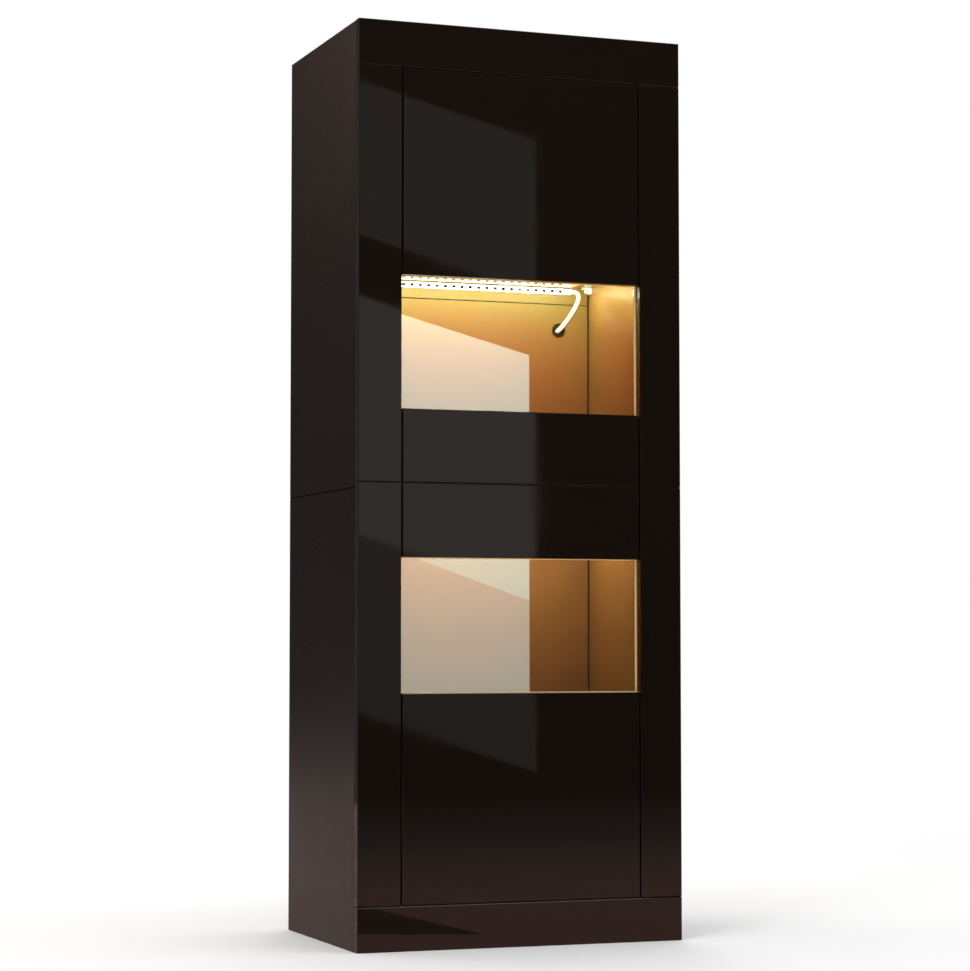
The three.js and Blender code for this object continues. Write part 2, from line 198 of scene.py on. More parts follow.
INNER_DARK, INNER_LIGHT = rgba(0.180, 0.091, 0.026), rgba(0.216, 0.110, 0.032)
OUTER_DARK, OUTER_LIGHT = rgba(0.0125, 0.0082, 0.0070), rgba(0.0165, 0.0110, 0.0095)
SEAM_SHADE = 0.0014  # how far the painted shade of a seam reaches to each side


def board_look(name, outside_of, sheen, seam=None):
    """Case board: dark satin outside the cabinet, brown inside it, where sheen is its roughness.
    The eased edges at the height of a seam are painted dark and dull, as painted shade in the seam."""
    look = Look(name)
    inner, grain = melamine(look, INNER_DARK, INNER_LIGHT)
    outer, _ = melamine(look, OUTER_DARK, OUTER_LIGHT)
    outside = outside_of(look)
    edge = look.edges(0.0012)
    base = look.mix(outside, inner, outer)
    base = look.mix(look.maths("MULTIPLY", edge, 0.12), base, rgba(0.05, 0.035, 0.028))
    satin = look.spread(look.noise(14.0, 4.0), 0.3, 0.7, 0.27, 0.30)
    rough = look.blend(outside, look.spread(grain, 0.0, 1.0, sheen, sheen + 0.03), satin)
    pearl = look.maths("ADD", look.noise(900.0, 2.0), look.maths("MULTIPLY", grain, 0.5))
    normal = look.bump(pearl, look.blend(outside, 0.000004, 0.00002), look.rounded(0.0003))
    gloss = 0.5
    if seam:
        # painted shade: within SEAM_SHADE of the seam the board is near black, dull and rough
        apart = look.maths("ABSOLUTE", look.maths("SUBTRACT", look.axis("Z"), seam))
        plain = look.beyond(apart, SEAM_SHADE)
        base = look.mix(plain, rgba(0.004, 0.003, 0.0025), base)
        gloss = look.blend(plain, 0.03, 0.5)
        rough = look.blend(plain, 0.8, rough)
    return look.surface({"Base Color": base, "Roughness": rough, "Normal": normal, "IOR": 1.6,
                         "Specular IOR Level": gloss})


def case_board():
    def outside(look):
        return look.beyond(look.maths("ABSOLUTE", look.axis("X")), INSIDE_X)

    low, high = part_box("left_side_lower")[1].z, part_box("left_side_upper")[0].z
    return board_look("case_board", outside, 0.22, (low + high) / 2)


def inner_board():
    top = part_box("top_panel")[1].z
    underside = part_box("bottom_panel")[0].z

    def outside(look):
        z = look.axis("Z")
        above = look.beyond(z, top - 0.0008)
        below = look.maths("SUBTRACT", 1.0, look.beyond(z, underside + 0.0008))
        return look.maths("MAXIMUM", above, below)

    return board_look("inner_board", outside, 0.01)


def back_board():
    """Hardboard: laminated towards the inside, pressed fibre behind."""
    look = Look("back_board")
    front, grain = melamine(look, INNER_DARK, INNER_LIGHT)
    fibre = look.noise(70.0, 8.0)
    flecks = look.noise(420.0, 3.0, (1.0, 1.0, 0.4))
    raw = look.mix(look.spread(fibre, 0.35, 0.65), rgba(0.115, 0.06, 0.030), rgba(0.155, 0.084, 0.043))
    raw = look.mix(look.spread(flecks, 0.62, 0.75), raw, rgba(0.24, 0.14, 0.075))
    rear = look.beyond(look.axis("Y"), BACK - 0.0006)
    base = look.mix(rear, front, raw)
    satin = look.spread(grain, 0.0, 1.0, 0.26, 0.34)
    rough = look.blend(rear, satin, look.spread(fibre, 0.3, 0.7, 0.6, 0.8))
    normal = look.bump(look.blend(rear, grain, look.maths("ADD", fibre, flecks)), 0.00006)
    return look.surface({"Base Color": base, "Roughness": rough, "Normal": normal, "IOR": 1.5})


def window_glass():
    """Clear float glass that lets lamps through, a little wavy, with finger haze. Head-on it mirrors three
    times what real glass does, and the window it mirrors is dimmed to suit, which keeps noise out of it."""
    look = Look("window_glass")
    haze = look.spread(look.noise(11.0, 5.0), 0.45, 0.8, 0.0, 0.006)
    wave = look.bump(look.noise(5.0, 1.0), 0.000004)
    glass = look.add("BsdfPrincipled", {
        "Base Color": rgba(0.972, 0.99, 0.982), "Roughness": haze, "Normal": wave,
        "IOR": 1.5, "Transmission Weight": 1.0, "Specular Tint": rgba(3, 3, 3)})
    clear = look.add("BsdfTransparent", {"Color": rgba(0.6, 0.62, 0.61)})
    shadow = look.add("LightPath").outputs["Is Shadow Ray"]
    mixed = look.add("MixShader", {0: shadow, 1: glass.outputs[0], 2: clear.outputs[0]})
    return look.output(mixed.outputs[0])


def hinge_metal():
    """Nickel plate with rolling marks and finger dulling."""
    look = Look("hinge_metal")
    marks = look.noise(300.0, 3.0, (1.0, 1.0, 14.0))
    dull = look.noise(60.0, 5.0)
    base = look.mix(dull, rgba(0.50, 0.49, 0.47), rgba(0.66, 0.645, 0.62))
    rough = look.spread(look.maths("ADD", marks, dull), 0.7, 1.3, 0.2, 0.38)
    normal = look.bump(marks, 0.00001, look.rounded(0.0004))
    return look.surface({"Base Color": base, "Roughness": rough, "Normal": normal, "Metallic": 1.0})


def moulded(name, dark, light, rough_low, rough_high):
    """Moulded plastic: fine spark texture, slight flow clouds."""
    look = Look(name)
    cloud = look.noise(45.0, 4.0)
    spark = look.noise(1400.0, 2.0)
    base = look.mix(look.spread(cloud, 0.3, 0.7), dark, light)
    rough = look.spread(cloud, 0.3, 0.7, rough_low, rough_high)
    normal = look.bump(spark, 0.00003, look.rounded(0.0004))
    return look.surface({"Base Color": base, "Roughness": rough, "Normal": normal, "IOR": 1.47})


def glowing(name, dark, light, colour, strength, scale):
    """Something lit from within, brighter and dimmer in patches."""
    look = Look(name)
    patch = look.spread(look.noise(scale, 2.0), 0.35, 0.65)
    base = look.mix(patch, dark, light)
    glow = look.mix(patch, rgba(*(0.8 * c for c in colour)), rgba(*colour))
    return look.surface({
        "Base Color": base, "Roughness": look.spread(patch, 0.0, 1.0, 0.35, 0.55),
        "Emission Color": glow, "Emission Strength": strength})


WHITE_DARK, WHITE_LIGHT = rgba(0.70, 0.68, 0.62), rgba(0.82, 0.80, 0.74)
BLACK_DARK, BLACK_LIGHT = rgba(0.012, 0.011, 0.011), rgba(0.022, 0.021, 0.02)
SLEEVE_DARK, SLEEVE_LIGHT = rgba(0.62, 0.58, 0.50), rgba(0.72, 0.68, 0.60)
TAPE_DARK, TAPE_LIGHT, TAPE_GLOW = rgba(0.8, 0.78, 0.7), rgba(0.9, 0.88, 0.8), (1.0, 0.93, 0.74)
CHIP_DARK, CHIP_LIGHT, CHIP_GLOW = rgba(0.9, 0.8, 0.4), rgba(0.95, 0.85, 0.5), (1.0, 0.94, 0.76)
GREEN_DARK, GREEN_LIGHT, GREEN_GLOW = rgba(0.05, 0.3, 0.08), rgba(0.08, 0.4, 0.1), (0.1, 1.0, 0.25)
LOOKS = {
    "gloss_front": gloss_front(),
    "case_board": case_board(),
    "inner_board": inner_board(),
    "back_board": back_board(),
    "window_glass": window_glass(),
    "hinge_metal": hinge_metal(),
    "white_plastic": moulded("white_plastic", WHITE_DARK, WHITE_LIGHT, 0.38, 0.5),
    "black_plastic": moulded("black_plastic", BLACK_DARK, BLACK_LIGHT, 0.4, 0.55),
    "lead_sleeve": moulded("lead_sleeve", SLEEVE_DARK, SLEEVE_LIGHT, 0.3, 0.4),
    "light_strip": glowing("light_tape", TAPE_DARK, TAPE_LIGHT, TAPE_GLOW, 3.2, 90.0),
}
CHIP = glowing("light_chip", CHIP_DARK, CHIP_LIGHT, CHIP_GLOW, 3.6, 400.0)
RESISTOR = moulded("resistor_black", rgba(0.006, 0.005, 0.004), rgba(0.012, 0.010, 0.008), 0.35, 0.5)
RUBBER = moulded("membrane_rubber", rgba(0.010, 0.0045, 0.003), rgba(0.018, 0.008, 0.005), 0.6, 0.75)
# painted shade: a near-black material for strips that stand for the shade in joints and corners
JOINT_SHADE = moulded("joint_shade", rgba(0.004, 0.002, 0.001), rgba(0.007, 0.004, 0.002), 0.85, 0.95)
PAD = moulded("solder_pad", rgba(0.22, 0.17, 0.09), rgba(0.34, 0.27, 0.15), 0.3, 0.45)
PAD.node_tree.nodes["Principled BSDF"].inputs["Metallic"].default_value = 0.6
INDICATOR = glowing("indicator", GREEN_DARK, GREEN_LIGHT, GREEN_GLOW, 1.2, 500.0)


# ---- Mesh building ----
def block(mesh, low, high, round_by=0.0):
    """A box with rounded edges, added to a bmesh."""
    low, high = Vector(low), Vector(high)
    place = Matrix.Translation((low + high) / 2) @ Matrix.Diagonal((*(high - low), 1))
    made = bmesh.ops.create_cube(mesh, size=1.0, matrix=place)
    if round_by:
        edges = list({edge for vert in made["verts"] for edge in vert.link_edges})
        bmesh.ops.bevel(mesh, geom=edges, offset=round_by, segments=3, profile=0.5, affect="EDGES")


def turned(mesh, profile, centre, turn=Matrix.Identity(3), steps=28):
    """A solid of revolution: profile is (radius, height) from one end on the axis to the other."""
    centre = Vector(centre)
    rings = []
    for radius, height in profile:
        if radius == 0:
            rings.append([mesh.verts.new(centre + turn @ Vector((0, 0, height)))])
            continue
        angles = [2 * math.pi * step / steps for step in range(steps)]
        rings.append([
            mesh.verts.new(centre + turn @ Vector((radius * math.cos(a), radius * math.sin(a), height)))
            for a in angles])
    for ring, after in zip(rings, rings[1:]):
        for step in range(steps):
            corners = {
                ring[step % len(ring)]: None, ring[(step + 1) % len(ring)]: None,
                after[(step + 1) % len(after)]: None, after[step % len(after)]: None}
            if len(corners) > 2:
                mesh.faces.new(list(corners))


def swept(mesh, route, section):
    """A tube along route, its section's first axis across and its second along Y."""
    rings = []
    for index, point in enumerate(route):
        ahead, behind = route[min(index + 1, len(route) - 1)], route[max(index - 1, 0)]
        along = (ahead - behind).normalized()
        thin = (Vector((0, 1, 0)) - along * along.y).normalized()
        wide = along.cross(thin)
        rings.append([mesh.verts.new(point + wide * u + thin * v) for u, v in section])
    count = len(section)
    for ring, after in zip(rings, rings[1:]):
        for step in range(count):
            mesh.faces.new([ring[step], ring[(step + 1) % count], after[(step + 1) % count], after[step]])
    mesh.faces.new(rings[0])
    mesh.faces.new(rings[-1])


def piece(name, mesh, look, body, sharp=35):
    """Turns a bmesh into a piece that rides on a body."""
    bmesh.ops.recalc_face_normals(mesh, faces=mesh.faces)
    data = bpy.data.meshes.new(name)
    mesh.to_mesh(data)
    mesh.free()
    data.shade_smooth()
    data.set_sharp_from_angle(angle=math.radians(sharp))
    made = bpy.data.objects.new(name, data)
    bpy.context.scene.collection.objects.link(made)
    data.materials.append(look)
    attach(made, body)
    return made


def smooth_route(points, steps=8):
    """Points along a centripetal Catmull-Rom curve through the given ones."""
    known = [Vector(p) * MM for p in points]
    ends = [2 * known[0] - known[1], *known, 2 * known[-1] - known[-2]]
    route = []
    for a, b, c, d in zip(ends, ends[1:], ends[2:], ends[3:]):
        t1 = (b - a).length ** 0.5
        t2 = t1 + (c - b).length ** 0.5
        t3 = t2 + (d - c).length ** 0.5
        for step in range(steps):
            t = t1 + (t2 - t1) * step / steps
            ab = a.lerp(b, t / t1)
            bc = b.lerp(c, (t - t1) / (t2 - t1))
            cd = c.lerp(d, (t - t2) / (t3 - t2))
            route.append(ab.lerp(bc, t / t2).lerp(bc.lerp(cd, (t - t1) / (t3 - t1)), (t - t1) / (t2 - t1)))
    return [*route, known[-1]]


# ---- CAD nodes: their finishes, and rounded pieces in place of the small faceted ones ----
SLOT_OF = {entry["node"]: entry["material_slot"] for entry in frame["record"]["subparts"]}


def dress_nodes():
    for name, node in NODES.items():
        node.data.materials.clear()
        node.data.materials.append(LOOKS[SLOT_OF[name]])


def refined(name, round_by):
    """The node's own shape with its facets joined and its hard edges rounded."""
    mesh = bmesh.new()
    mesh.from_mesh(NODES[name].data)
    bmesh.ops.remove_doubles(mesh, verts=mesh.verts, dist=0.00002)
    bmesh.ops.dissolve_limit(mesh, angle_limit=math.radians(1), verts=mesh.verts, edges=mesh.edges)
    hard = [e for e in mesh.edges if len(e.link_faces) == 2 and e.calc_face_angle(0.0) > math.radians(50)]
    bmesh.ops.bevel(
        mesh, geom=hard, offset=round_by, segments=2, profile=0.5, affect="EDGES", clamp_overlap=True)
    slot = SLOT_OF[name]
    made = piece(f"{name}_finished", mesh, LOOKS[slot], BODY_OF[name], sharp=40)
    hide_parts(name)


# ---- Light strips and their leads ----
PITCH_LED = 1.0 / 60  # sixty lights to the metre


def only_seen(made):
    """Glowing pieces are seen and mirrored; the lamps beside them do the lighting."""
    made.visible_diffuse = False


def light_strip(level):
    node = f"{level}_light_strip"
    low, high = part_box(node)
    middle = (low.z + high.z) / 2 - 0.0004
    tape_face = high.y - 0.0006
    flush = tape_face - 0.00005  # the rear of what sits on the tape
    tape = bmesh.new()
    block(tape, (low.x, tape_face, low.z), (high.x, high.y, high.z - 0.0008), 0.0002)
    tape = piece(f"{level}_light_tape", tape, LOOKS["light_strip"], "case")
    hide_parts(node)
    chips, resistors, pads = bmesh.new(), bmesh.new(), bmesh.new()
    count = int((high.x - low.x - 0.012) / PITCH_LED)
    start = low.x + 0.006
    for index in range(count):
        x = start + (index + 0.5) * PITCH_LED
        block(chips, (x - 0.0015, low.y + 0.0003, middle - 0.0025),
              (x + 0.0015, flush, middle + 0.0025), 0.0004)
        at = x + 0.5 * PITCH_LED
        block(resistors, (at - 0.0033, tape_face - 0.0009, middle - 0.0028),
              (at + 0.0033, flush, middle + 0.0028), 0.0004)
        for side in (-1, 1):
            spot = at + side * 0.0052
            block(pads, (spot - 0.0008, tape_face - 0.0002, middle - 0.0012),
                  (spot + 0.0008, flush, middle + 0.0012), 0.00005)
    made = [
        tape,
        piece(f"{level}_light_chips", chips, CHIP, "case"),
        piece(f"{level}_light_resistors", resistors, RESISTOR, "case"),
        piece(f"{level}_light_pads", pads, PAD, "case"),
    ]
    for item in made:
        only_seen(item)
    edge = bmesh.new()
    block(edge, (low.x, tape_face - 0.0006, high.z - 0.0008), (high.x, high.y, high.z), 0.0001)
    piece(f"{level}_light_tape_edge", edge, RESISTOR, "case")
    cap = bmesh.new()
    block(cap, (high.x - 0.0022, low.y - 0.0006, low.z - 0.0004),
          (high.x + 0.0012, high.y - 0.0001, high.z + 0.0003), 0.0007)
    piece(f"{level}_light_end_cap", cap, LOOKS["lead_sleeve"], "case")


LEAD_Y, RECESS_Y = 180.6, 190.2  # the leads' middle inside the cabinet and in the recess behind it
LEAD_ROUTES = {
    "upper": [
        (250.4, LEAD_Y, 1195.4), (257, LEAD_Y, 1195), (263, LEAD_Y, 1191), (264.6, LEAD_Y, 1184),
        (261.5, LEAD_Y, 1174), (254, LEAD_Y, 1160), (244, LEAD_Y, 1145),
        (228.6, LEAD_Y, 1126), (223.4, LEAD_Y + 2, 1120.4), (220.6, LEAD_Y + 6, 1116.4),
        (219.8, RECESS_Y - 0.6, 1111), (219.6, RECESS_Y, 1102),
        (224, RECESS_Y, 1080), (238, RECESS_Y, 1040), (246, RECESS_Y, 990),
        (246, RECESS_Y, 800), (246, RECESS_Y, 602.3)],
    "lower": [
        (250.4, LEAD_Y, 783.6), (257, LEAD_Y, 783.2), (263, LEAD_Y, 779.2), (264.6, LEAD_Y, 772.2),
        (261, LEAD_Y, 762), (253, LEAD_Y, 748), (242, LEAD_Y, 733),
        (228.6, LEAD_Y, 718), (223.4, LEAD_Y + 2, 712.4), (220.6, LEAD_Y + 6, 708.4),
        (219.8, RECESS_Y - 0.6, 703), (219.6, RECESS_Y, 694),
        (217, RECESS_Y, 670), (216, RECESS_Y, 640), (216, RECESS_Y, 602.3)],
}
CLIPS = [(246, 950), (246, 840), (246, 700), (216, 650)]


def lead(level):
    """A flat two-core lead, with a groove between its cores."""
    half_width, half_thick = 0.0043, 0.0021
    section = []
    for step in range(28):
        angle = 2 * math.pi * step / 28
        u = math.cos(angle)
        groove = 1 - 0.16 * math.exp(-((u / 0.22) ** 2))
        section.append((half_width * u, half_thick * math.sin(angle) * groove))
    mesh = bmesh.new()
    swept(mesh, smooth_route(LEAD_ROUTES[level]), section)
    name = f"{level}_light_lead_sleeve"
    made = piece(name, mesh, LOOKS["lead_sleeve"], "case", sharp=70)
    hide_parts(f"{level}_light_lead")


def lead_clips():
    """Stick-on saddles that hold the leads in the recess: a base, and an arch over the lead."""
    radius, pad_rear = 0.0062, BACK + 0.0017
    strap = ((-0.0006, -0.004), (0.0006, -0.004), (0.0006, 0.004), (-0.0006, 0.004))
    for index, (x, z) in enumerate(CLIPS):
        x, z = x * MM, z * MM
        mesh = bmesh.new()
        block(mesh, (x - 0.0095, BACK + 0.0002, z - 0.007), (x + 0.0095, pad_rear, z + 0.007), 0.0005)
        centre = Vector((x, pad_rear, z))
        rings = []
        for step in range(15):
            angle = math.pi * step / 14
            point = centre + radius * Vector((math.cos(angle), math.sin(angle) ** 0.7, 0))
            out = (point - centre).normalized()
            rings.append([mesh.verts.new(point + out * d + Vector((0, 0, h))) for d, h in strap])
        for ring, after in zip(rings, rings[1:]):
            for step in range(4):
                mesh.faces.new([ring[step], ring[(step + 1) % 4], after[(step + 1) % 4], after[step]])
        mesh.faces.new(rings[0])
        mesh.faces.new(rings[-1])
        piece(f"lead_clip_{index + 1}", mesh, LOOKS["white_plastic"], "case", sharp=50)


def controller_details():
    """Cooling ribs and an indicator on the controller's rear, and collars for the leads."""
    low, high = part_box("light_controller")
    ribs = bmesh.new()
    for index in range(7):
        x = low.x + 0.008 + index * 0.004
        block(ribs, (x, high.y - 0.0002, low.z + 0.009), (x + 0.0018, high.y + 0.0009, high.z - 0.009),
              0.0004)
    piece("controller_ribs", ribs, LOOKS["black_plastic"], "case")
    indicator = bmesh.new()
    dome = [(0.0, 0.0012), (0.0008, 0.0011), (0.0014, 0.0008), (0.0017, 0.0), (0.0, -0.0003)]
    turned(indicator, dome, (high.x - 0.012, high.y, high.z - 0.012), REARWARD)
    piece("controller_indicator", indicator, INDICATOR, "case")
    collars = bmesh.new()
    collar = [(0.0, -0.0004), (0.0054, -0.0004), (0.0054, 0.0030), (0.0048, 0.0052), (0.0, 0.0052)]
    for x in (0.246, 0.216):
        turned(collars, collar, (x, RECESS_Y * MM, high.z), Matrix.Diagonal((1.0, 0.62, 1.0)))
    piece("controller_collars", collars, LOOKS["black_plastic"], "case")


# ---- Fixings ----
def screw_mesh(radius):
    """A low domed screw head with a cross recess, facing +Z, made once and copied."""
    head = bmesh.new()
    profile = [(0.0, 0.34 * radius)]
    for step in range(1, 6):
        share = step / 5
        profile.append((radius * share, 0.28 * radius * (1 - share ** 2) + 0.06 * radius))
    profile += [(radius, -0.12 * radius), (0.0, -0.12 * radius)]
    turned(head, profile, (0, 0, 0), steps=20)
    bmesh.ops.recalc_face_normals(head, faces=head.faces)
    cutter = bmesh.new()
    arm, wide = 0.58 * radius, 0.11 * radius
    for size in ((arm, wide), (wide * 0.98, arm * 0.98)):
        block(cutter, (-size[0], -size[1], 0.04 * radius), (size[0], size[1], radius))
    bmesh.ops.recalc_face_normals(cutter, faces=cutter.faces)
    objects = []
    for mesh in (head, cutter):
        data = bpy.data.meshes.new("scratch")
        mesh.to_mesh(data)
        mesh.free()
        made = bpy.data.objects.new("scratch", data)
        bpy.context.scene.collection.objects.link(made)
        objects.append(made)
    cut = objects[0].modifiers.new("recess", "BOOLEAN")
    cut.object = objects[1]
    cut.use_self = True
    bpy.context.view_layer.update()
    evaluated = objects[0].evaluated_get(bpy.context.evaluated_depsgraph_get())
    result = bpy.data.meshes.new_from_object(evaluated)
    for made in objects:
        bpy.data.objects.remove(made)
    return result


def screws(name, places, turn, radius, look, body):
    """Screw heads of one size at several places, each turned its own way as a hand leaves them."""
    head = screw_mesh(radius)
    mesh = bmesh.new()
    for index, place in enumerate(places):
        before = len(mesh.verts)
        mesh.from_mesh(head)
        mesh.verts.ensure_lookup_table()
        spin = Matrix.Rotation(0.7 + 2.1 * index, 3, "Z")
        for vert in mesh.verts[before:]:
            vert.co = Vector(place) + turn @ spin @ vert.co
    piece(name, mesh, look, body)


def hinge_screws():
    for level in LEVELS:
        fixing, adjusting = [], []
        for end in ("top", "bottom"):
            low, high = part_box(f"{level}_hinge_housing_{end}")
            middle = (low.z + high.z) / 2
            plate_x = high.x - 0.007
            fixing += [(plate_x, FRONT + 0.0227, middle + dz) for dz in (-0.014, 0.014)]
            adjusting += [(low.x + 0.005 + dx, high.y, middle) for dx in (0.014, 0.034)]
        metal = LOOKS["hinge_metal"]
        screws(f"{level}_hinge_fixing_screws", fixing, REARWARD, 0.0038, metal, "case")
        screws(f"{level}_hinge_adjusting_screws", adjusting, REARWARD, 0.0031, metal, "case")


def retainer_screws():
    margin, spaces = 0.012, 4
    for level in LEVELS:
        places = []
        for end, inward in (("bottom", 1), ("top", -1)):
            low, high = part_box(f"{level}_door_glass_retainer_{end}")
            z = (low.z if inward > 0 else high.z) + inward * 0.0036
            pitch = (high.x - low.x - 2 * margin) / spaces
            places += [(low.x + margin + step * pitch, high.y - 0.0001, z) for step in range(spaces + 1)]
        name, body = f"{level}_door_retainer_screws", f"{level}_door"
        screws(name, places, REARWARD, 0.0026, LOOKS["hinge_metal"], body)


def back_nails():
    """Flat nail heads that hold the back panels to the boards in front of them."""
    mesh = bmesh.new()
    head = [(0.0, 0.0006), (0.0024, 0.0005), (0.0031, 0.0002), (0.0031, -0.0002), (0.0, -0.0002)]
    boards = {
        "bottom_panel": (0.5,), "lower_shelf": (0.25,), "middle_panel": (0.8,), "upper_shelf": (0.5,),
        "top_panel": (0.5,)}
    for node, shares in boards.items():
        low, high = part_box(node)
        for share in shares:
            z = low.z + share * (high.z - low.z)
            for step in range(6):
                x = low.x + 0.03 + step * (high.x - low.x - 0.06) / 5
                turned(mesh, head, (x, BACK, z), REARWARD, steps=14)
    piece("back_nails", mesh, LOOKS["hinge_metal"], "case")


CABLE_HOLES = {"upper": (0.224, 1.120), "lower": (0.224, 0.712)}


def hole_grommets():
    """Thin rims round the cable holes, inside the cabinet, and the rubber membranes in them."""
    inner, outer, steps = 0.0133, 0.0152, 48
    rim = ((inner, WALL + 0.0028), (inner, WALL - 0.0005), (inner + 0.0006, WALL - 0.0009),
           (outer - 0.0006, WALL - 0.0008), (outer, WALL - 0.0001))
    disc = [(0.0, 0.0004), (inner - 0.0001, 0.0004), (inner - 0.0001, -0.0003), (0.0, -0.0003)]
    angles = [2 * math.pi * step / steps for step in range(steps)]
    for level, (x, z) in CABLE_HOLES.items():
        mesh = bmesh.new()
        rings = []
        for radius, y in rim:
            circle = [(x + radius * math.cos(a), y, z + radius * math.sin(a)) for a in angles]
            rings.append([mesh.verts.new(point) for point in circle])
        for ring, after in zip(rings, [*rings[1:], rings[0]]):
            for step in range(steps):
                ahead = (step + 1) % steps
                mesh.faces.new([ring[step], ring[ahead], after[ahead], after[step]])
        piece(f"{level}_cable_hole_rim", mesh, LOOKS["inner_board"], "case")
        membrane = bmesh.new()
        turned(membrane, disc, (x, WALL + 0.0018, z), REARWARD, steps)
        piece(f"{level}_cable_hole_membrane", membrane, RUBBER, "case")


def span(side, near, far):
    """The same stretch of X on either side of the middle, from its lower end up."""
    return sorted((side * near, side * far))


def dust_strips():
    """Soft black strips behind the gaps at both sides of the door panels and at the window's left edge."""
    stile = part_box("right_stile_lower")[0].x
    front, rear = CASE_FRONT + 0.0002, CASE_FRONT + 0.0009
    dust = bmesh.new()
    for level in LEVELS:
        for end in ("top", "bottom"):
            low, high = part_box(f"{level}_door_panel_{end}")
            for side in (-1, 1):
                near, far = span(side, stile - 0.007, stile + 0.004)
                block(dust, (near, front, low.z), (far, rear, high.z), 0.0002)
    for level in LEVELS:
        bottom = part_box(f"{level}_door_panel_bottom")[1].z
        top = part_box(f"{level}_door_panel_top")[0].z
        block(dust, (-stile - 0.004, front, bottom), (-stile + 0.0021, rear, top), 0.0002)
    piece("dust_strips", dust, LOOKS["black_plastic"], "case")


def between(below, above):
    """The heights between two boards that stand one on the other, lapping each a little."""
    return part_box(below)[1].z - 0.0001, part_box(above)[0].z + 0.0001


def joint_shade_strips():
    """Near-black strips as painted shade in the joints between fixed boards and back panels, and in the inner rear
    corners.
    """
    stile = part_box("right_stile_lower")[0].x
    half_width, depth = cad_box[1].x, cad_box[1].y
    inset = 0.0012
    joints = bmesh.new()
    for below, above in (("plinth_front", "left_stile_lower"), ("left_stile_lower", "left_stile_upper"),
                         ("left_stile_upper", "header_front")):
        low, high = between(below, above)
        for side in (-1, 1):
            near, far = span(side, stile + inset, half_width - inset)
            block(joints, (near, FRONT + inset, low), (far, CASE_FRONT - 0.0005, high))
    low, high = between("left_side_lower", "left_side_upper")
    for side in (-1, 1):
        near, far = span(side, INSIDE_X + 0.0006, half_width - 0.0008)
        block(joints, (near, CASE_FRONT + 0.001, low), (far, depth - 0.001, high))
    for below, above in (("bottom", "lower"), ("lower", "upper"), ("upper", "top")):
        low, high = between(f"back_panel_{below}", f"back_panel_{above}")
        block(joints, (-INSIDE_X, WALL + 0.0006, low), (INSIDE_X, BACK - 0.0004, high))
    bottom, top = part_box("bottom_panel")[1].z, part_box("top_panel")[0].z
    for side in (-1, 1):
        near, far = span(side, INSIDE_X - 0.0030, INSIDE_X - 0.0006)
        block(joints, (near, WALL - 0.0005, bottom), (far, WALL + 0.0002, top))
    # painted shade: the strips are near black so the joints and rear corners read as shaded
    piece("joint_shade_strips", joints, JOINT_SHADE, "case")


PAINTED_EDGE_GLOW = 0.25  # painted glow: the emission that paints light on the edges of the panes


def glass_edges():
    """Clear profiles on the pane's upright edges and beads along the window's bottom and top, whose amber
    colour and glow are a painted highlight for light caught in the panes' edges."""
    look = Look("edge_profile_painted_glow")
    grit = look.noise(500.0, 3.0)
    # painted highlight: the amber base colour and the emission stand for light caught in the glass edges
    base = look.mix(grit, rgba(0.60, 0.36, 0.12), rgba(0.74, 0.47, 0.18))
    clear = look.surface({
        "Base Color": base, "Roughness": look.spread(grit, 0.3, 0.7, 0.2, 0.4),
        "Normal": look.bump(grit, 0.00002), "IOR": 1.5,
        "Emission Color": rgba(1.0, 0.62, 0.26), "Emission Strength": PAINTED_EDGE_GLOW})
    for level in LEVELS:
        low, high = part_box(f"{level}_door_glass")
        bottom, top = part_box(f"{level}_door_panel_bottom")[1].z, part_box(f"{level}_door_panel_top")[0].z
        mesh = bmesh.new()
        front, rear = low.y + 0.0002, high.y - 0.0002
        block(mesh, (low.x - 0.0004, front, low.z + 0.001), (low.x - 0.00003, rear, high.z - 0.001), 0.00015)
        block(mesh, (high.x + 0.00003, front, bottom - 0.004), (high.x + 0.0043, rear, top + 0.004), 0.0004)
        made = piece(f"{level}_door_glass_edges", mesh, clear, f"{level}_door")
        # the painted glow is seen and mirrored but lights nothing
        only_seen(made)
        bead = bmesh.new()
        front, rear = low.y - 0.0008, low.y - 0.0001
        block(bead, (low.x, front, bottom - 0.0002), (high.x, rear, bottom + 0.0014), 0.0002)
        block(bead, (low.x, front, top - 0.0010), (high.x, rear, top + 0.0002), 0.0002)
        made = piece(f"{level}_door_glass_beads", bead, clear, f"{level}_door")
        only_seen(made)


# ---- Floor, backdrop, lamps and the cards that the gloss mirrors ----
# Metres in front of the cabinet: what stands further forward isn't mirrored inside the panes.
SHOWN_FROM = 1.6


def stage_mesh(name, corners, material):
    data = bpy.data.meshes.new(name)
    data.from_pydata([tuple(c) for c in corners], [], [list(range(len(corners)))])
    made = bpy.data.objects.new(name, data)
    bpy.context.scene.collection.objects.link(made)
    data.materials.append(material)
    return made


def floor():
    """A plain pale floor that runs out to white, so no horizon shows."""
    look = Look("floor")
    apart = look.add("VectorMath", {0: look.rest}, operation="LENGTH").outputs["Value"]
    fade = look.spread(apart, 0.9, 3.2)
    pale = look.add("BsdfDiffuse", {"Color": rgba(0.86, 0.86, 0.86)})
    white = look.add("Emission", {"Color": rgba(1, 1, 1), "Strength": 1.0})
    look.output(look.add("MixShader", {0: fade, 1: pale.outputs[0], 2: white.outputs[0]}).outputs[0])
    look.material.cycles.emission_sampling = "NONE"
    size = 40.0
    for name, near, far in (("front", -size, -SHOWN_FROM), ("rear", -SHOWN_FROM, size)):
        corners = [(-size, near, 0), (size, near, 0), (size, far, 0), (-size, far, 0)]
        made = stage_mesh(f"{name}_floor", corners, look.material)
        made.location.z = -0.0002
        made.visible_glossy = False
        made.visible_transmission = name == "rear"


